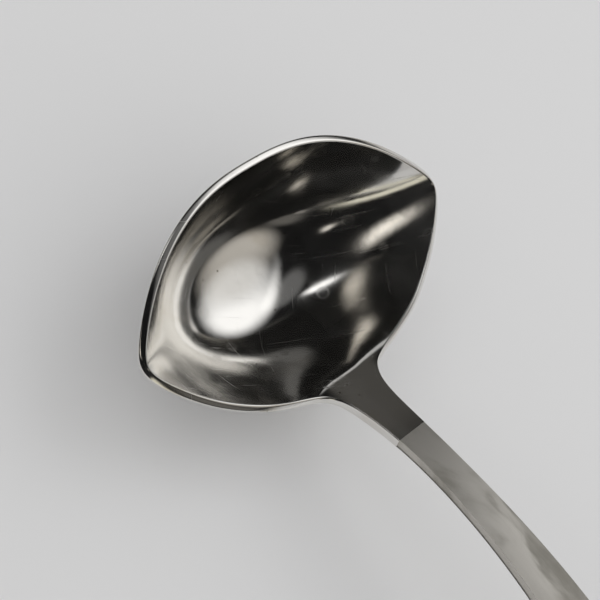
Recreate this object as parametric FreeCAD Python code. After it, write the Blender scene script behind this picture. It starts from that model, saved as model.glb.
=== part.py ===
"""Sauce ladle with two pointed pouring lips: bowl, handle and the solder seam between them.

Everything is first built in the rim frame: X from the bowl's centre towards the handle, Y from lip
to lip, Z up, with the rim in the plane z = 0. The finished pieces are then set down as the ladle
lies on a table, on the bowl's flat and the handle's end. The origin is on that flat. Millimetres.
"""
import FreeCAD, Part
import os
from math import asin, atan2, ceil, cos, degrees, hypot, pi, radians, sin, sqrt, tan

# Bowl: inner edge of the rim, seen from above
BOWL_HALF_WIDTH = 22.8      # rim, back to front
LIP_REACH = 41.0            # centre to the tip of a lip
LIP_SOFTNESS = 2.5          # rounds the lip's tip, to a radius of about 3.5
RIM_FULLNESS = 2.5          # higher is a fuller outline with blunter lips

# Bowl: inside
BOWL_DEPTH = 23.0
FLOOR_HALF_LENGTH = 35.0    # lip to lip size that the floor's oval grows from
WALL_POWER = 3.25           # higher is a flatter floor and a steeper wall
LIP_FLARE_POWER = 6.0       # higher keeps the flare closer to the rim
SHEET = 1.6                 # bowl's sheet
RIM_CROWN = 0.35            # how far the rounded rim stands above its two edges

# Neck, where the bowl runs into the handle
NECK_HALF_WIDTH = 3.5
NECK_BLEND = 28.0           # size of the blend between rim and neck, in plan
NECK_DIP_BLEND = 6.0        # size of the blend between the bowl's wall and the handle's face
NECK_FLANK_RISE = 0.03      # how fast the neck's trough climbs beside the handle's width
TROUGH_FROM = 10.0          # nearer the centre than this the wall has no trough
THICKEN_FROM = 22.0         # the sheet thickens to the handle's bar between these
THICKEN_TO = 33.0
STUB_END = 41.0             # the raised blank reaches this far before it is sawn off
SEAM_X = 37.5
SEAM_GAP = 0.25             # thickness of the solder

# Handle: two tangent arcs from the side, widening to a round end from above
BAR = 2.4                   # thickness
RISE_ANGLE = radians(42.0)  # slope of the top face at RISE_X
RISE_X = 32.4
RISE_Z = 6.3
RISE_RADIUS = 125.0
CREST_ANGLE = radians(18.0) # slope where the tighter arc takes over
CREST_RADIUS = 80.0
HANDLE_END_X = 146.0
HANDLE_END_HALF_WIDTH = 8.0
HANDLE_EDGE_RADIUS = 0.5

FLAT_CUT = 0.25             # how much is planished off the bowl's lowest point

# Fineness of the surfaces
POLES_AROUND = 96
POLES_OUT = 18
NECK_CROWDING = 0.6         # crowds the poles towards the neck
RIM_CROWDING = 1.4          # crowds them towards the rim
SHEET_DEGREE = 3
RIM_DEGREE = 2              # one arc-like span from the inner edge to the outer
PLAN_STATIONS = 16
PROFILE_STEP = 0.1          # spacing of the points among which the lowest is looked for

# Limits of the searches
PROBE = 0.01                # step for measuring a slope
HALVINGS = 50
NECK_ANGLE = radians(12.0)  # the neck's sides lie within this angle of the handle's line
OUTERMOST_LEVEL = 3.0       # the wall's formula is carried on this many times past the rim
STEEPEST_TILT = radians(45.0)
REACH = 400.0               # larger than the ladle


def smooth_step(value, start, end):
    part = min(max((value - start) / (end - start), 0.0), 1.0)
    return part * part * (3.0 - 2.0 * part)


def smooth_max(first, second, size):
    overlap = max(size - abs(first - second), 0.0) / size
    return max(first, second) + overlap * overlap * size / 4.0


def smooth_min(first, second, size):
    return -smooth_max(-first, -second, size)


def solve(rising, low, high):
    """Where a rising function crosses zero."""
    for _ in range(HALVINGS):
        middle = (low + high) / 2.0
        if rising(middle) > 0.0:
            high = middle
        else:
            low = middle
    return (low + high) / 2.0


# ---------------------------------------------------------------- outline, seen from above

def lens_radius(angle):
    """Plain rim with no neck: two bowed sides that meet at the lips."""
    span = hypot(BOWL_HALF_WIDTH, LIP_SOFTNESS) - LIP_SOFTNESS

    def outside(radius):
        across = (hypot(radius * cos(angle), LIP_SOFTNESS) - LIP_SOFTNESS) / span
        return across + abs(radius * sin(angle) / LIP_REACH) ** RIM_FULLNESS - 1.0
    return solve(outside, 0.0, 2.0 * LIP_REACH)


def outline_radius(angle):
    """Rim with the neck blended in, as a distance from the bowl's centre."""
    lens = lens_radius(angle)
    if cos(angle) <= 0.0:
        return lens
    return smooth_max(lens, NECK_HALF_WIDTH / max(abs(sin(angle)), PROBE / REACH), NECK_BLEND)


def neck_half_width(x):
    def beyond(angle):
        return x - outline_radius(angle) * cos(angle)
    angle = solve(beyond, PROBE / REACH, NECK_ANGLE)
    return outline_radius(angle) * sin(angle)


def handle_half_width(x):
    widening = smooth_step(x, SEAM_X, HANDLE_END_X - HANDLE_END_HALF_WIDTH)
    return neck_half_width(x) + (HANDLE_END_HALF_WIDTH - NECK_HALF_WIDTH) * widening


# ---------------------------------------------------------------- handle's side view

RISE_CENTRE = (RISE_X + RISE_RADIUS * sin(RISE_ANGLE), RISE_Z - RISE_RADIUS * cos(RISE_ANGLE))
CREST_CENTRE = (RISE_CENTRE[0] - (RISE_RADIUS - CREST_RADIUS) * sin(CREST_ANGLE),
                RISE_CENTRE[1] + (RISE_RADIUS - CREST_RADIUS) * cos(CREST_ANGLE))
SEAM_ANGLE = asin((RISE_CENTRE[0] - SEAM_X) / RISE_RADIUS)
OVERRUN_ANGLE = asin((CREST_CENTRE[0] - HANDLE_END_X) / CREST_RADIUS) - BAR / CREST_RADIUS
END_ROUND_RADIUS = CREST_RADIUS - BAR + HANDLE_EDGE_RADIUS
END_ROUND_ANGLE = asin((CREST_CENTRE[0] - HANDLE_END_X + HANDLE_EDGE_RADIUS) / END_ROUND_RADIUS)


def arc_point(centre, radius, slope):
    return FreeCAD.Vector(centre[0] - radius * sin(slope), 0.0, centre[1] + radius * cos(slope))


def handle_top(x):
    """Height of the handle's top face, carried on straight below the start of its arc."""
    if x < RISE_X:
        return RISE_Z + (x - RISE_X) * tan(RISE_ANGLE)
    return RISE_CENTRE[1] + sqrt(RISE_RADIUS ** 2 - (RISE_CENTRE[0] - x) ** 2)


# ---------------------------------------------------------------- bowl's inner face

def bowl_height(x, y):
    """Height of the bowl's inner face, with the neck left out."""
    angle = atan2(y, x)
    lens = lens_radius(angle)
    oval = 1.0 / hypot(cos(angle) / BOWL_HALF_WIDTH, sin(angle) / FLOOR_HALF_LENGTH)

    def beyond(level):
        return level * (oval + (lens - oval) * level ** LIP_FLARE_POWER) - hypot(x, y)
    level = solve(beyond, 0.0, OUTERMOST_LEVEL)
    return BOWL_DEPTH * (level ** WALL_POWER - 1.0)


def inner_height(x, y):
    height = bowl_height(x, y)
    if x <= TROUGH_FROM:
        return height
    beside = max(abs(y) - NECK_HALF_WIDTH, 0.0)
    trough = handle_top(x) + NECK_FLANK_RISE * beside * beside
    return smooth_min(height, trough, NECK_DIP_BLEND)


def outward(x, y):
    """Unit normal that points out of the bowl."""
    slope_x = (inner_height(x + PROBE, y) - inner_height(x - PROBE, y)) / (2.0 * PROBE)
    slope_y = (inner_height(x, y + PROBE) - inner_height(x, y - PROBE)) / (2.0 * PROBE)
    return FreeCAD.Vector(slope_x, slope_y, -1.0).normalize()


def inner_point(x, y):
    return FreeCAD.Vector(x, y, inner_height(x, y))


def outer_point(x, y):
    thickness = SHEET + (BAR - SHEET) * smooth_step(x, THICKEN_FROM, THICKEN_TO)
    return inner_point(x, y) + outward(x, y) * thickness


# ---------------------------------------------------------------- bowl

def pole_angles():
    for index in range(POLES_AROUND):
        turn = 2.0 * pi * (index + 0.5) / POLES_AROUND - pi
        yield turn - NECK_CROWDING * sin(turn)


def stub_radius(angle):
    radius = outline_radius(angle)
    if cos(angle) <= 0.0:
        return radius
    return min(radius, STUB_END / cos(angle))


def face_poles(point_at):
    rows = []
    for angle in pole_angles():
        edge = stub_radius(angle)
        row = []
        for index in range(POLES_OUT):
            out = 1.0 - (1.0 - index / (POLES_OUT - 1.0)) ** RIM_CROWDING
            row.append(point_at(edge * out * cos(angle), edge * out * sin(angle)))
        rows.append(row)
    return rows


def ring_face(rows, degree):
    """Face through a net of poles that closes on itself around the bowl."""
    across = len(rows[0])
    inner_knots = across - degree - 1
    surface = Part.BSplineSurface()
    surface.buildFromPolesMultsKnots(
        rows,
        [1] * (len(rows) + 1), [degree + 1] + [1] * inner_knots + [degree + 1],
        list(range(len(rows) + 1)), list(range(inner_knots + 2)),
        True, False, SHEET_DEGREE, degree)
    return surface.toShape()


def rim_poles(inner_rows, outer_rows):
    """Poles of the rounded rim, which stands out square to the sheet and to the outline."""
    inner_edge = [row[-1] for row in inner_rows]
    outer_edge = [row[-1] for row in outer_rows]
    rows = []
    for index, (inner, outer) in enumerate(zip(inner_edge, outer_edge)):
        along = inner_edge[(index + 1) % len(inner_edge)] - inner_edge[index - 1]
        out = (outer - inner).cross(along).normalize()
        rows.append([inner, (inner + outer) * 0.5 + out * (2.0 * RIM_CROWN), outer])
    return rows


def seam_saw(offset):
    """Block that takes away everything beyond the seam."""
    block = Part.makeBox(REACH, REACH, REACH, FreeCAD.Vector(offset, -REACH / 2.0, -REACH / 2.0))
    seam = arc_point(RISE_CENTRE, RISE_RADIUS, SEAM_ANGLE)
    turn = FreeCAD.Rotation(FreeCAD.Vector(0.0, 1.0, 0.0), -degrees(SEAM_ANGLE))
    block.Placement = FreeCAD.Placement(seam, turn)
    return block


def make_bowl():
    inner_rows = face_poles(inner_point)
    outer_rows = face_poles(outer_point)
    faces = [ring_face(inner_rows, SHEET_DEGREE), ring_face(outer_rows, SHEET_DEGREE),
             ring_face(rim_poles(inner_rows, outer_rows), RIM_DEGREE)]
    blank = Part.Solid(Part.Shell(faces))
    if blank.Volume < 0.0:
        blank.reverse()
    return blank.cut(seam_saw(0.0))


# ---------------------------------------------------------------- handle and solder

def arc_edge(centre, radius, start, end):
    points = [arc_point(centre, radius, slope) for slope in (start, (start + end) / 2.0, end)]
    return Part.Arc(*points).toShape()


def side_slab():
    """Side view of the arched bar, made wider and longer than the handle."""
    top = [arc_edge(RISE_CENTRE, RISE_RADIUS, SEAM_ANGLE, CREST_ANGLE),
           arc_edge(CREST_CENTRE, CREST_RADIUS, CREST_ANGLE, OVERRUN_ANGLE)]
    under = [arc_edge(CREST_CENTRE, CREST_RADIUS - BAR, OVERRUN_ANGLE, CREST_ANGLE),
             arc_edge(RISE_CENTRE, RISE_RADIUS - BAR, CREST_ANGLE, SEAM_ANGLE)]
    end = Part.LineSegment(arc_point(CREST_CENTRE, CREST_RADIUS, OVERRUN_ANGLE),
                           arc_point(CREST_CENTRE, CREST_RADIUS - BAR, OVERRUN_ANGLE)).toShape()
    seam = Part.LineSegment(arc_point(RISE_CENTRE, RISE_RADIUS - BAR, SEAM_ANGLE),
                            arc_point(RISE_CENTRE, RISE_RADIUS, SEAM_ANGLE)).toShape()
    side = Part.Face(Part.Wire(top + [end] + under + [seam]))
    side.translate(FreeCAD.Vector(0.0, -REACH / 2.0, 0.0))
    return side.extrude(FreeCAD.Vector(0.0, REACH, 0.0))


def plan_prism():
    """View from above of the widening handle, made taller than the handle."""
    start = SEAM_X - BAR
    round_x = HANDLE_END_X - HANDLE_END_HALF_WIDTH
    stations = [start + (round_x - start) * index / PLAN_STATIONS for index in range(PLAN_STATIONS + 1)]
    left = [FreeCAD.Vector(x, handle_half_width(x), 0.0) for x in stations]
    right = [FreeCAD.Vector(point.x, -point.y, 0.0) for point in left]
    edges = []
    for side in (left, right):
        curve = Part.BSplineCurve()
        curve.interpolate(Points=side, InitialTangent=side[1] - side[0],
                          FinalTangent=FreeCAD.Vector(side[1].x - side[0].x, 0.0, 0.0))
        edges.append(curve.toShape())
    tip = FreeCAD.Vector(round_x + handle_half_width(round_x), 0.0, 0.0)
    edges.insert(1, Part.Arc(left[-1], tip, right[-1]).toShape())
    edges.append(Part.LineSegment(right[0], left[0]).toShape())
    plan = Part.Face(Part.Wire(Part.__sortEdges__(edges)))
    plan.translate(FreeCAD.Vector(0.0, 0.0, -REACH / 2.0))
    return plan.extrude(FreeCAD.Vector(0.0, 0.0, REACH))


def make_bar():
    return side_slab().common(plan_prism())


def make_handle(bar):
    handle = bar.common(seam_saw(SEAM_GAP))
    long_edges = [edge for edge in handle.Edges if edge.Length > 2.0 * HANDLE_END_HALF_WIDTH]
    return handle.makeFillet(HANDLE_EDGE_RADIUS, long_edges)


def make_solder(bar):
    return bar.cut(seam_saw(SEAM_GAP))


# ---------------------------------------------------------------- setting the ladle down

def tilted_height(point, tilt):
    return point.z * cos(tilt) - point.x * sin(tilt)


def bowl_low_point(tilt):
    """Lowest point of the bowl's outside when the handle's side is let down by the tilt."""
    steps = ceil(BOWL_HALF_WIDTH / PROFILE_STEP)
    profile = [outer_point(PROFILE_STEP * index, 0.0) for index in range(steps)]
    return min(profile, key=lambda point: tilted_height(point, tilt))


def rest_tilt():
    """Tilt at which the bowl's flat and the rounded corner under the handle's end touch the table."""
    end_round = arc_point(CREST_CENTRE, END_ROUND_RADIUS, END_ROUND_ANGLE)

    def end_too_low(tilt):
        flat = tilted_height(bowl_low_point(tilt), tilt) + FLAT_CUT
        return flat + HANDLE_EDGE_RADIUS - tilted_height(end_round, tilt)
    return solve(end_too_low, 0.0, STEEPEST_TILT)


def set_down(shape, tilt):
    low = bowl_low_point(tilt)
    placed = shape.copy()
    placed.rotate(FreeCAD.Vector(0.0, 0.0, 0.0), FreeCAD.Vector(0.0, 1.0, 0.0), degrees(tilt))
    along = low.x * cos(tilt) + low.z * sin(tilt)
    placed.translate(FreeCAD.Vector(-along, 0.0, -tilted_height(low, tilt) - FLAT_CUT))
    return placed


def planish(bowl):
    """Take the bowl's lowest point off flat, level with the table."""
    table = Part.makeBox(REACH, REACH, REACH, FreeCAD.Vector(-REACH / 2.0, -REACH / 2.0, -REACH))
    return bowl.cut(table)


def main():
    os.makedirs("parts", exist_ok=True)
    tilt = rest_tilt()
    bar = make_bar()
    pieces = {
        "bowl": planish(set_down(make_bowl(), tilt)),
        "neck_solder": set_down(make_solder(bar), tilt),
        "handle": set_down(make_handle(bar), tilt),
    }
    for name, shape in pieces.items():
        print(name, "valid", shape.isValid(), "solids", len(shape.Solids), "volume %.0f" % shape.Volume)
        shape.exportStep("parts/%s.step" % name)
    print("tilt %.2f degrees" % degrees(tilt))


main()
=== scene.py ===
"""Sauce ladle with two pouring lips: the visual model, its metal, and a plain studio around it.

Shapes are worked out in millimetres in the rim frame (X towards the handle, Y from lip to lip, rim in
the plane z = 0), then set down on the table and scaled to metres.
"""
from math import asin, cos, hypot, pi, radians, sin, tan
import bmesh
import bpy
import numpy as np
from mathutils import Matrix, Vector

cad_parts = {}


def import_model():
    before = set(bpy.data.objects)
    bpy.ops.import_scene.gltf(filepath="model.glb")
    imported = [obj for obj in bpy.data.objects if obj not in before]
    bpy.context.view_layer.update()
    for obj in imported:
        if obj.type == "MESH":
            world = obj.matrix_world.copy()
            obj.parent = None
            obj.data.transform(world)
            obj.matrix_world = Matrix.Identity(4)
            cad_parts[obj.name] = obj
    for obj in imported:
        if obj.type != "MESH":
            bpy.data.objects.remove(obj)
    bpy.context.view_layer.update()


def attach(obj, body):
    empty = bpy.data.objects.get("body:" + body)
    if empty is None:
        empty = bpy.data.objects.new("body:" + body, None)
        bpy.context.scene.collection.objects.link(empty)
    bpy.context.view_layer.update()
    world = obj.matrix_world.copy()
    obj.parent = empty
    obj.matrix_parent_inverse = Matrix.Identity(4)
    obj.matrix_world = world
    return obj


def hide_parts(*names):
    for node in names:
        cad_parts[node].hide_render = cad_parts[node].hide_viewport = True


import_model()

MM = 0.001

# Bowl: inner edge of the rim, seen from above
BOWL_HALF_WIDTH = 22.8
LIP_REACH = 41.0            # centre to the tip of a lip
LIP_SOFTNESS = 2.5          # rounds the lip's tip
RIM_FULLNESS = 2.5          # higher is a fuller outline with blunter lips

# Bowl: inside and sheet
BOWL_DEPTH = 23.0
FLOOR_HALF_LENGTH = 35.0    # lip to lip size that the floor's oval grows from
WALL_POWER = 3.25           # higher is a flatter floor and a steeper wall
LIP_FLARE_POWER = 6.0       # higher keeps the flare closer to the rim
SHEET = 1.6                 # thickness

# Neck
NECK_HALF_WIDTH = 3.5
NECK_BLEND = 28.0           # size of the blend between rim and neck, in plan
NECK_DIP_BLEND = 6.0        # size of the blend between the bowl's wall and the handle's face
NECK_FLANK_RISE = 0.03      # how fast the neck's trough climbs beside the handle's width
TROUGH_FROM = 10.0          # nearer the centre than this the wall has no trough
THICKEN_FROM = 22.0         # the sheet thickens to the handle's bar between these
THICKEN_TO = 33.0
SEAM_X = 37.5
SEAM_GAP = 0.25             # thickness of the solder

# Handle
BAR = 2.4                   # thickness
RISE_ANGLE = radians(42.0)  # slope of the top face at RISE_X
RISE_X = 32.4
RISE_Z = 6.3
RISE_RADIUS = 125.0
CREST_ANGLE = radians(18.0)  # slope where the tighter arc takes over
CREST_RADIUS = 80.0
HANDLE_END_X = 146.0
HANDLE_END_HALF_WIDTH = 8.0
HANDLE_BELLY = 0.2          # how much lower the top face is along its two edges
BELLY_RUN = 14.0            # length past the seam over which the belly grows
FLAT_CUT = 0.25             # how much is planished off the bowl's lowest point
END_ROUND = 0.5             # rounds the corner under the handle's end

# Edges
EDGE_CROWN = 0.3            # how far a side stands out between its two edges
EDGE_SQUARENESS = 4.0       # higher is a flatter side with tighter corners
EDGE_STEPS = 12

# Fineness of the meshes
RIM_STEPS = 520
RIM_SAMPLES = 20000         # fine walk round the rim, from which the even steps are taken
SEAM_STEPS = 14
OUT_STEPS = 110
RIM_CROWDING = 0.6          # crowds the steps towards the rim
HANDLE_STEPS = 150
TIP_STEPS = 28
ACROSS_STEPS = 24
WELD = 2e-7                 # points nearer than this, in metres, become one
SHARP_ANGLE = radians(50.0)

# Solving
PROBE = 0.01                # step for measuring a slope
PROFILE_STEP = 0.1          # spacing of the points among which the lowest is looked for
HALVINGS = 45
TINY = 1e-5                 # keeps an angle and its sine away from zero
NECK_ANGLE = radians(12.0)  # the neck's sides lie within this angle of the handle's line
OUTERMOST_LEVEL = 3.0       # the wall's formula is carried on this many times past the rim
STEEPEST_TILT = radians(45.0)


# ---------------------------------------------------------------- shape formulas, on arrays

def smooth_step(value, start, end):
    part = np.clip((value - start) / (end - start), 0.0, 1.0)
    return part * part * (3.0 - 2.0 * part)


def smooth_max(first, second, size):
    overlap = np.maximum(size - np.abs(first - second), 0.0) / size
    return np.maximum(first, second) + overlap * overlap * size / 4.0


def smooth_min(first, second, size):
    return -smooth_max(-first, -second, size)


def solve(rising, low, high, like):
    """Where rising functions cross zero, one for each element of like."""
    low = np.full_like(like, low)
    high = np.full_like(like, high)
    for _ in range(HALVINGS):
        middle = (low + high) / 2.0
        above = rising(middle) > 0.0
        high = np.where(above, middle, high)
        low = np.where(above, low, middle)
    return (low + high) / 2.0


def lens_radius(angle):
    """Distance from the centre to the two-lipped outline, without the neck."""
    span = hypot(BOWL_HALF_WIDTH, LIP_SOFTNESS) - LIP_SOFTNESS

    def outside(radius):
        across = (np.hypot(radius * np.cos(angle), LIP_SOFTNESS) - LIP_SOFTNESS) / span
        return across + np.abs(radius * np.sin(angle) / LIP_REACH) ** RIM_FULLNESS - 1.0
    return solve(outside, 0.0, 2.0 * LIP_REACH, angle)


def outline_radius(angle):
    """Distance from the centre to the rim's inner edge, neck included."""
    lens = lens_radius(angle)
    strip = NECK_HALF_WIDTH / np.maximum(np.abs(np.sin(angle)), TINY)
    return np.where(np.cos(angle) > 0.0, smooth_max(lens, strip, NECK_BLEND), lens)


def neck_angle(x):
    """Angle at which the neck's side is this far along X."""
    def beyond(angle):
        return x - outline_radius(angle) * np.cos(angle)
    return solve(beyond, TINY, NECK_ANGLE, x)


def neck_half_width(x):
    """Half the width between the neck's two sides, this far along X."""
    angle = neck_angle(x)
    return outline_radius(angle) * np.sin(angle)


RISE_CENTRE = (RISE_X + RISE_RADIUS * sin(RISE_ANGLE), RISE_Z - RISE_RADIUS * cos(RISE_ANGLE))
CREST_CENTRE = (RISE_CENTRE[0] - (RISE_RADIUS - CREST_RADIUS) * sin(CREST_ANGLE),
                RISE_CENTRE[1] + (RISE_RADIUS - CREST_RADIUS) * cos(CREST_ANGLE))
CREST_X = RISE_CENTRE[0] - RISE_RADIUS * sin(CREST_ANGLE)


def handle_slope(x):
    """Slope angle of the handle's top face."""
    rise = np.arcsin(np.clip((RISE_CENTRE[0] - x) / RISE_RADIUS, -1.0, 1.0))
    crest = np.arcsin(np.clip((CREST_CENTRE[0] - x) / CREST_RADIUS, -1.0, 1.0))
    return np.where(x < RISE_X, RISE_ANGLE, np.where(x < CREST_X, rise, crest))


def handle_top(x):
    """Height of the handle's top face, carried on straight below the start of its arc."""
    slope = handle_slope(x)
    straight = RISE_Z + (x - RISE_X) * tan(RISE_ANGLE)
    rise = RISE_CENTRE[1] + RISE_RADIUS * np.cos(slope)
    crest = CREST_CENTRE[1] + CREST_RADIUS * np.cos(slope)
    return np.where(x < RISE_X, straight, np.where(x < CREST_X, rise, crest))


def bowl_height(x, y):
    """The bowl's inside without the neck: an oval floor that flares into the lips."""
    angle = np.arctan2(y, x)
    lens = lens_radius(angle)
    oval = 1.0 / np.hypot(np.cos(angle) / BOWL_HALF_WIDTH, np.sin(angle) / FLOOR_HALF_LENGTH)
    reach = np.hypot(x, y)

    def beyond(level):
        return level * (oval + (lens - oval) * level ** LIP_FLARE_POWER) - reach
    level = solve(beyond, 0.0, OUTERMOST_LEVEL, reach)
    return BOWL_DEPTH * (level ** WALL_POWER - 1.0)


def inner_height(x, y):
    """The bowl's inside, blended with the trough that carries the handle's face."""
    height = bowl_height(x, y)
    beside = np.maximum(np.abs(y) - NECK_HALF_WIDTH, 0.0)
    trough = handle_top(x) + NECK_FLANK_RISE * beside * beside
    return np.where(x <= TROUGH_FROM, height, smooth_min(height, trough, NECK_DIP_BLEND))


def unit(vectors):
    return vectors / np.linalg.norm(vectors, axis=-1, keepdims=True)


def bowl_faces(x, y):
    """Points on the bowl's inner face at x, y, and those straight through the sheet from them."""
    slope_x = (inner_height(x + PROBE, y) - inner_height(x - PROBE, y)) / (2.0 * PROBE)
    slope_y = (inner_height(x, y + PROBE) - inner_height(x, y - PROBE)) / (2.0 * PROBE)
    inner = np.stack([x, y, inner_height(x, y)], axis=-1)
    outward = unit(np.stack([slope_x, slope_y, -np.ones_like(x)], axis=-1))
    thickness = SHEET + (BAR - SHEET) * smooth_step(x, THICKEN_FROM, THICKEN_TO)
    return inner, inner + outward * thickness[..., None]


# ---------------------------------------------------------------- setting the ladle down

def tilted_height(point, tilt):
    """Height once the ladle is tilted, from a point in the rim frame."""
    return point[..., 2] * np.cos(tilt) - point[..., 0] * np.sin(tilt)


def bowl_low_point(tilt):
    x = np.arange(0.0, BOWL_HALF_WIDTH, PROFILE_STEP)
    profile = bowl_faces(x, np.zeros_like(x))[1]
    return profile[np.argmin(tilted_height(profile, tilt))]


def rest_tilt():
    """Tilt at which the planished flat and the handle's end touch the table together."""
    radius = CREST_RADIUS - BAR + END_ROUND
    slope = asin((CREST_CENTRE[0] - HANDLE_END_X + END_ROUND) / radius)
    end_round = np.array([HANDLE_END_X - END_ROUND, 0.0, CREST_CENTRE[1] + radius * cos(slope)])
    low, high = 0.0, STEEPEST_TILT
    for _ in range(HALVINGS):
        middle = (low + high) / 2.0
        flat = tilted_height(bowl_low_point(middle), middle) + FLAT_CUT
        if flat + END_ROUND > tilted_height(end_round, middle):
            high = middle
        else:
            low = middle
    return (low + high) / 2.0


TILT = rest_tilt()
LOW_POINT = bowl_low_point(TILT)


def set_down(points):
    """Rim frame in millimetres to the row's frame in metres."""
    along = points[:, 0] * cos(TILT) + points[:, 2] * sin(TILT)
    along_low = LOW_POINT[0] * cos(TILT) + LOW_POINT[2] * sin(TILT)
    up = tilted_height(points, TILT) - tilted_height(LOW_POINT, TILT) - FLAT_CUT
    return np.stack([along - along_low, points[:, 1], np.maximum(up, 0.0)], axis=-1) * MM


# ---------------------------------------------------------------- mesh building

class Net:
    """Gathers points and faces for one piece."""

    def __init__(self):
        self.points = []
        self.faces = []

    def add(self, points):
        start = len(self.points)
        self.points.extend(points.reshape(-1, 3))
        return start + np.arange(points.reshape(-1, 3).shape[0]).reshape(points.shape[:-1])

    def quads(self, grid):
        """Faces of a grid of point numbers."""
        for row, following in zip(grid[:-1], grid[1:]):
            self.faces.extend(zip(row[:-1], following[:-1], following[1:], row[1:]))

    def piece(self, name, body, node, slot, material):
        """Makes the piece, hangs it on its body and hides the CAD part that it replaces."""
        mesh = bpy.data.meshes.new(name)
        mesh.from_pydata(set_down(np.array(self.points)).tolist(), [],
                         [[int(point) for point in face] for face in self.faces])
        work = bmesh.new()
        work.from_mesh(mesh)
        bmesh.ops.remove_doubles(work, verts=work.verts, dist=WELD)
        bmesh.ops.recalc_face_normals(work, faces=work.faces)
        for face in work.faces:
            face.smooth = True
        work.to_mesh(mesh)
        work.free()
        mesh.set_sharp_from_angle(angle=SHARP_ANGLE)
        mesh.materials.append(material)
        piece = bpy.data.objects.new(name, mesh)
        bpy.context.scene.collection.objects.link(piece)
        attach(piece, body)
        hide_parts(node)


def rounded_side(top_edge, under_edge, out):
    """Points from a top edge to the edge underneath, standing outwards between the two."""
    place = (1.0 - np.cos(pi * np.linspace(0.0, 1.0, EDGE_STEPS + 1))) / 2.0
    stand = EDGE_CROWN * np.sqrt(1.0 - np.abs(2.0 * place - 1.0) ** EDGE_SQUARENESS)
    return (top_edge[..., None, :] + (under_edge - top_edge)[..., None, :] * place[:, None]
            + out[..., None, :] * stand[:, None])


def side_band(top_edge, under_edge):
    """Rounded side all along the two edges of a plate."""
    along = np.gradient(top_edge, axis=0)
    return rounded_side(top_edge, under_edge, unit(np.cross(under_edge - top_edge, along)))


def rim_edge():
    """Points on the rim's inner edge from one corner of the seam round to the other."""
    corner = float(neck_angle(np.array([SEAM_X]))[0])
    angle = np.linspace(corner, 2.0 * pi - corner, RIM_SAMPLES)
    radius = outline_radius(angle)
    x, y = radius * np.cos(angle), radius * np.sin(angle)
    run = np.concatenate([[0.0], np.cumsum(np.hypot(np.diff(x), np.diff(y)))])
    even = np.linspace(0.0, run[-1], RIM_STEPS + 1)
    return np.interp(even, run, x), np.interp(even, run, y)


def make_bowl(material):
    rim_x, rim_y = rim_edge()
    seam_y = np.linspace(rim_y[-1], rim_y[0], SEAM_STEPS + 1)[1:-1]
    edge_x = np.concatenate([rim_x, np.full_like(seam_y, rim_x[0])])
    edge_y = np.concatenate([rim_y, seam_y])
    out = np.linspace(0.0, 1.0, OUT_STEPS + 1)[1:]
    out = out * (1.0 + RIM_CROWDING * (1.0 - out))
    net = Net()
    grids = []
    for side, centre in zip(bowl_faces(edge_x[:, None] * out, edge_y[:, None] * out),
                            bowl_faces(np.zeros(1), np.zeros(1))):
        numbers = net.add(side)
        ring = np.concatenate([numbers, numbers[:1]])
        net.quads(ring)
        middle = net.add(centre)[0]
        net.faces.extend(zip(ring[:-1, 0], ring[1:, 0], [middle] * len(edge_x)))
        grids.append((side, numbers))
    (inner, inner_numbers), (outer, outer_numbers) = grids
    rim = RIM_STEPS + 1
    band = side_band(inner[:rim, -1], outer[:rim, -1])
    band_numbers = net.add(band)
    net.quads(band_numbers)
    seam = (list(inner_numbers[rim:, -1]) + list(band_numbers[0])
            + list(outer_numbers[rim:, -1][::-1]) + list(band_numbers[-1][::-1]))
    net.faces.append(seam)
    net.piece("bowl_shell", "root", "bowl", "polished_bowl", material)


def bar_net(stations, half_widths, closed_tip):
    """A length of the arched bar. The tip closes by itself where the width runs out."""
    slope = handle_slope(stations)
    across = np.linspace(-1.0, 1.0, ACROSS_STEPS + 1)
    belly = HANDLE_BELLY * smooth_step(stations, SEAM_X, SEAM_X + BELLY_RUN)
    top = np.stack([stations[:, None] + 0.0 * across,
                    half_widths[:, None] * across,
                    handle_top(stations)[:, None] - belly[:, None] * across ** 2], axis=-1)
    down = np.stack([np.sin(slope), 0.0 * slope, -np.cos(slope)], axis=-1) * BAR
    under_middle = np.stack([stations, 0.0 * stations, handle_top(stations)], axis=-1) + down
    under = under_middle[:, None] + top * np.array([0.0, 1.0, 0.0])
    net = Net()
    top_numbers, under_numbers = net.add(top), net.add(under)
    net.quads(top_numbers)
    net.quads(under_numbers)
    right = side_band(top[::-1, 0], under[::-1, 0])
    left = side_band(top[:, -1], under[:, -1])
    if closed_tip:
        ahead = np.array([1.0, 0.0, 0.0])
        for band in (right[0], left[-1]):
            band[:] = rounded_side(band[0], band[-1], ahead)
    right_numbers, left_numbers = net.add(right), net.add(left)
    net.quads(right_numbers)
    net.quads(left_numbers)
    ends = [(0, right_numbers[-1], left_numbers[0])]
    if not closed_tip:
        ends.append((-1, right_numbers[0], left_numbers[-1]))
    for end, right_side, left_side in ends:
        net.faces.append(list(top_numbers[end][1:-1]) + list(left_side)
                         + list(under_numbers[end][1:-1][::-1]) + list(right_side[::-1]))
    return net


def seam_end():
    """Where the solder ends and the handle begins."""
    slope = float(handle_slope(np.array([SEAM_X]))[0])
    return SEAM_X + SEAM_GAP * cos(slope)


def make_solder(material):
    stations = np.array([SEAM_X, seam_end()])
    net = bar_net(stations, neck_half_width(stations), closed_tip=False)
    net.piece("seam_fillet", "root", "neck_solder", "seam_solder", material)


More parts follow.
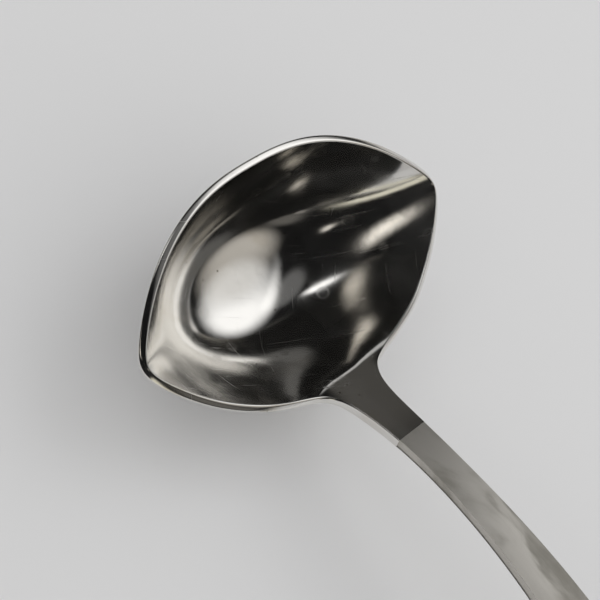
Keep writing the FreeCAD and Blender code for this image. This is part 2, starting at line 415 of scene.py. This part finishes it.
def make_handle(material):
    round_x = HANDLE_END_X - HANDLE_END_HALF_WIDTH
    straight = np.linspace(seam_end(), round_x, HANDLE_STEPS + 1)
    widening = smooth_step(straight, SEAM_X, round_x)
    wide = neck_half_width(straight) + (HANDLE_END_HALF_WIDTH - NECK_HALF_WIDTH) * widening
    turn = np.linspace(0.0, pi / 2.0, TIP_STEPS + 1)[1:]
    stations = np.concatenate([straight, round_x + HANDLE_END_HALF_WIDTH * np.sin(turn)])
    half_widths = np.concatenate([wide, HANDLE_END_HALF_WIDTH * np.cos(turn)])
    net = bar_net(stations, half_widths, closed_tip=True)
    net.piece("handle_bar", "root", "handle", "satin_handle", material)


# ---------------------------------------------------------------- materials

class Nodes:
    """Short ways to add and join shader nodes in one material."""

    def __init__(self, name):
        self.material = bpy.data.materials.new(name)
        self.material.use_nodes = True
        self.tree = self.material.node_tree
        self.shader = self.tree.nodes["Principled BSDF"]
        self.place = self.tree.nodes.new("ShaderNodeTexCoord").outputs["Object"]

    def add(self, kind, inputs, output, **settings):
        node = self.tree.nodes.new("ShaderNode" + kind)
        for key, value in settings.items():
            setattr(node, key, value)
        for key, value in inputs.items():
            if isinstance(value, bpy.types.NodeSocket):
                self.tree.links.new(value, node.inputs[key])
            else:
                node.inputs[key].default_value = value
        return node.outputs[output]

    def stretched(self, scale, turn=(0.0, 0.0, 0.0)):
        """Coordinates in metres, turned and then multiplied along each axis."""
        turned = self.add("Mapping", {"Vector": self.place, "Rotation": turn}, "Vector")
        return self.add("Mapping", {"Vector": turned, "Scale": scale}, "Vector")

    def noise(self, scale, detail, place=None, distortion=0.0):
        return self.add("TexNoise", {"Vector": place or self.place, "Scale": scale, "Detail": detail,
                                     "Roughness": 0.55, "Distortion": distortion}, "Fac")

    def cells(self, per_metre):
        """Distance to the nearest of many scattered points, as a part of their spacing."""
        return self.add("TexVoronoi", {"Vector": self.place, "Scale": per_metre,
                                       "Randomness": 1.0}, "Distance")

    def ramp(self, value, low, high, start=0.0, end=1.0):
        """Carries low..high of a value to start..end, eased at both ends."""
        return self.add("MapRange", {"Value": value, "From Min": low, "From Max": high,
                                     "To Min": start, "To Max": end}, "Result",
                        interpolation_type="SMOOTHSTEP")

    def math(self, operation, first, second):
        return self.add("Math", {0: first, 1: second}, "Value", operation=operation)

    def total(self, *values):
        result = values[0]
        for value in values[1:]:
            result = self.math("ADD", result, value)
        return result

    def tint(self, amount, first, second):
        """Mixes two colours, of which the first may come from another node."""
        if not isinstance(first, bpy.types.NodeSocket):
            first = (*first, 1.0)
        return self.add("Mix", {"Factor": amount, "A": first, "B": (*second, 1.0)}, "Result",
                        data_type="RGBA")

    def bump(self, *layers):
        """Bump from pairs of height and depth in metres, one over another."""
        normal = None
        for height, depth in layers:
            inputs = {"Height": height, "Distance": depth, "Strength": 1.0}
            if normal:
                inputs["Normal"] = normal
            normal = self.add("Bump", inputs, "Normal")
        return normal

    def finish(self, colour, roughness, normal, metallic):
        self.tree.links.new(metallic, self.shader.inputs["Metallic"])
        self.tree.links.new(colour, self.shader.inputs["Base Color"])
        self.tree.links.new(roughness, self.shader.inputs["Roughness"])
        self.tree.links.new(normal, self.shader.inputs["Normal"])
        return self.material


def scratches(nodes, turn, fineness, rarity):
    """Thin straight hairlines, all running one way, 1 on a line and 0 elsewhere."""
    along = fineness * 0.02
    lines = nodes.noise(1.0, 2.0, nodes.stretched((fineness, along, along), (0.0, 0.0, turn)))
    return nodes.ramp(lines, rarity, rarity + 0.04)


def water_spots(nodes, per_metre, size):
    """Rings left by dried drops, 1 on a ring and 0 elsewhere."""
    distance = nodes.cells(per_metre)
    within = nodes.ramp(distance, size, size * 0.8)
    hollow = nodes.ramp(distance, size * 0.72, size * 0.45)
    return nodes.math("SUBTRACT", within, nodes.math("MULTIPLY", hollow, 0.7))


def specks(nodes, per_metre, size):
    """Small separate marks, 1 inside a mark and 0 elsewhere."""
    return nodes.ramp(nodes.cells(per_metre), size, size * 0.6)


def polished_metal(name):
    """Hand-polished bowl: wiped smears, hairlines, dried drops, specks and a faint unevenness."""
    nodes = Nodes(name)
    smears = nodes.ramp(nodes.noise(70.0, 5.0, distortion=0.8), 0.42, 0.68)
    grime = nodes.ramp(nodes.noise(26.0, 6.0, distortion=1.5), 0.5, 0.75)
    spots = water_spots(nodes, 95.0, 0.16)
    hairs = nodes.total(scratches(nodes, 0.5, 2600.0, 0.68), scratches(nodes, -0.9, 2200.0, 0.70),
                        scratches(nodes, 1.7, 1900.0, 0.71))
    metal = nodes.tint(grime, (0.80, 0.785, 0.755), (0.70, 0.66, 0.59))
    colour = nodes.tint(specks(nodes, 300.0, 0.075), metal, (0.30, 0.27, 0.23))
    film = nodes.ramp(nodes.noise(34.0, 5.0, distortion=1.2), 0.45, 0.75, 1.0, 0.965)
    roughness = nodes.total(
        nodes.ramp(smears, 0.0, 1.0, 0.09, 0.15), nodes.ramp(grime, 0.0, 1.0, 0.0, 0.06),
        nodes.math("MULTIPLY", hairs, 0.16), nodes.math("MULTIPLY", spots, 0.08))
    dents = nodes.noise(210.0, 2.0)
    return nodes.finish(colour, roughness, nodes.bump((dents, 0.00002)), film)


def satin_metal(name, worn, clean):
    """Softly brushed bar: fine lengthwise lines, broad cloudy wear and a few stray hairlines.

    The roughness runs from clean to worn.
    """
    nodes = Nodes(name)
    brushed = nodes.noise(1.0, 3.0, nodes.stretched((60.0, 5200.0, 900.0)))
    drawn_out = nodes.stretched((0.5, 1.2, 1.0))
    clouds = nodes.ramp(nodes.noise(80.0, 5.0, drawn_out, distortion=1.0), 0.38, 0.66)
    hairs = nodes.total(scratches(nodes, 1.45, 4600.0, 0.68), scratches(nodes, -0.7, 3900.0, 0.70))
    colour = nodes.tint(clouds, (0.60, 0.576, 0.533), (0.44, 0.42, 0.375))
    film = nodes.ramp(clouds, 0.0, 1.0, 0.92, 0.86)
    roughness = nodes.total(nodes.ramp(clouds, 0.0, 1.0, clean, worn),
                            nodes.math("MULTIPLY", nodes.math("SUBTRACT", brushed, 0.5), 0.16),
                            nodes.math("MULTIPLY", hairs, 0.08))
    normal = nodes.bump((nodes.noise(160.0, 2.0), 0.00002), (brushed, 0.000003), (hairs, 0.0000015))
    return nodes.finish(colour, roughness, normal, film)


# ---------------------------------------------------------------- studio

TABLE_HALF_WIDTH = 3.0
LIGHT_DISTANCE = 1.4
WHITE = (1.0, 1.0, 1.0)
WARM = (1.0, 0.95, 0.87)
STRAW = (1.0, 0.96, 0.80)

CAMERA_AZIMUTH = radians(-84.4)
CAMERA_ELEVATION = radians(55.2)
CAMERA_ROLL = radians(-49.9)
CAMERA_DISTANCE = 0.3287
CAMERA_AIM = Vector((0.0032, 0.0042, 0.0122))
SENSOR_MM = 36.0
LENS_MM = 95.0
NEAREST_SEEN = 0.01


def table_top():
    material = bpy.data.materials.new("table_top")
    material.use_nodes = True
    shader = material.node_tree.nodes["Principled BSDF"]
    shader.inputs["Base Color"].default_value = (0.80, 0.80, 0.805, 1.0)
    shader.inputs["Roughness"].default_value = 0.75
    mesh = bpy.data.meshes.new("table_top")
    half = TABLE_HALF_WIDTH
    mesh.from_pydata([(-half, -half, 0), (half, -half, 0), (half, half, 0), (-half, half, 0)],
                     [], [(0, 1, 2, 3)])
    mesh.materials.append(material)
    floor = bpy.data.objects.new("table_top", mesh)
    bpy.context.scene.collection.objects.link(floor)


def toward(azimuth, elevation, distance):
    """Where a compass direction leads, for angles in radians."""
    return Vector((cos(elevation) * cos(azimuth), cos(elevation) * sin(azimuth),
                   sin(elevation))) * distance


def soften(light, hot):
    """Lets a light fade to nothing at its edges. The fading begins at hot, where 1 is the edge."""
    light.use_nodes = True
    tree = light.node_tree
    across = tree.nodes.new("ShaderNodeNewGeometry")
    centred = tree.nodes.new("ShaderNodeVectorMath")
    centred.operation = "MULTIPLY_ADD"
    centred.inputs[1].default_value = (2.0, 2.0, 0.0)
    centred.inputs[2].default_value = (-1.0, -1.0, 0.0)
    reach = tree.nodes.new("ShaderNodeVectorMath")
    reach.operation = "LENGTH"
    fade = tree.nodes.new("ShaderNodeMapRange")
    fade.interpolation_type = "SMOOTHSTEP"
    fade.inputs["From Min"].default_value = 1.0
    fade.inputs["From Max"].default_value = hot
    tree.links.new(across.outputs["Parametric"], centred.inputs[0])
    tree.links.new(centred.outputs[0], reach.inputs[0])
    tree.links.new(reach.outputs["Value"], fade.inputs["Value"])
    tree.links.new(fade.outputs["Result"], tree.nodes["Emission"].inputs["Strength"])


def soft_box(name, azimuth, elevation, size, radiance, hot, colour=WHITE, turn=0.0):
    """An area light that faces the origin, from a compass direction in degrees.

    The size is in metres, and turn spins the light about its own middle, in degrees.
    """
    light = bpy.data.lights.new(name, "AREA")
    light.shape = "RECTANGLE"
    light.size, light.size_y = size
    light.energy = radiance * pi * size[0] * size[1]
    light.color = colour
    soften(light, hot)
    lamp = bpy.data.objects.new(name, light)
    place = toward(radians(azimuth), radians(elevation), LIGHT_DISTANCE)
    lamp.location = place
    lamp.rotation_euler = (place.to_track_quat("Z", "Y").to_matrix()
                           @ Matrix.Rotation(radians(turn), 3, "Z")).to_euler()
    bpy.context.scene.collection.objects.link(lamp)


def world(room, fill):
    """A dim room in reflections, with an even fill for the table and its shadows."""
    scene_world = bpy.data.worlds.new("studio")
    scene_world.use_nodes = True
    tree = scene_world.node_tree
    shade = tree.nodes["Background"]
    shade.inputs["Color"].default_value = (*WHITE, 1.0)
    path = tree.nodes.new("ShaderNodeLightPath")
    strength = tree.nodes.new("ShaderNodeMix")
    strength.inputs["A"].default_value = fill
    strength.inputs["B"].default_value = room
    tree.links.new(path.outputs["Is Glossy Ray"], strength.inputs["Factor"])
    tree.links.new(strength.outputs["Result"], shade.inputs["Strength"])
    bpy.context.scene.world = scene_world


def camera():
    """Looks down on the bowl from the side, turned so that the handle leaves at the lower right."""
    lens = bpy.data.cameras.new("camera")
    lens.sensor_width = SENSOR_MM
    lens.lens = LENS_MM
    lens.clip_start = NEAREST_SEEN
    eye = bpy.data.objects.new("camera", lens)
    sight = toward(CAMERA_AZIMUTH, CAMERA_ELEVATION, CAMERA_DISTANCE)
    facing = sight.to_track_quat("Z", "Y").to_matrix().to_4x4()
    roll = Matrix.Rotation(-CAMERA_ROLL, 4, "Z")
    eye.matrix_world = Matrix.Translation(CAMERA_AIM + sight) @ facing @ roll
    bpy.context.scene.collection.objects.link(eye)
    bpy.context.scene.camera = eye


def studio():
    table_top()
    world(0.009, 0.61)
    soft_box("main_window", 85.0, 50.0, (1.7, 1.3), 1.2, 0.25)
    soft_box("skylight", 74.0, 66.0, (1.5, 0.36), 0.45, 0.1)
    soft_box("window_wall", 34.0, 37.0, (1.4, 1.25), 0.5, 0.2, WARM)
    soft_box("back_wall", 80.0, 10.0, (2.6, 0.7), 0.6, 0.5)
    soft_box("back_right_wall", 20.0, 4.0, (1.4, 0.6), 0.5, 0.4)
    soft_box("left_wall", 160.0, 12.0, (2.2, 0.9), 0.5, 0.6)
    soft_box("neck_wall", 143.0, 33.0, (1.1, 1.0), 0.06, 0.3, WARM)
    soft_box("ceiling", 120.0, 77.0, (1.0, 1.0), 0.13, 0.5)
    soft_box("left_window", -167.0, 52.0, (1.1, 0.26), 1.6, 0.3, WHITE, -48.0)
    soft_box("front_wall", -115.0, 37.5, (0.85, 0.26), 1.3, 0.0, WARM)
    soft_box("front_window", -48.5, 41.0, (0.27, 0.36), 0.9, 0.2, WARM)
    soft_box("right_wall", -33.0, 6.0, (0.8, 0.5), 0.8, 0.4, STRAW)
    soft_box("right_side_wall", -3.0, 21.0, (1.0, 0.6), 0.11, 0.3, WARM)
    camera()


def main():
    make_bowl(polished_metal("polished_bowl"))
    make_solder(satin_metal("seam_solder", 0.55, 0.40))
    make_handle(satin_metal("satin_handle", 0.62, 0.44))
    studio()
    bpy.context.scene.view_settings.view_transform = "Standard"


main()
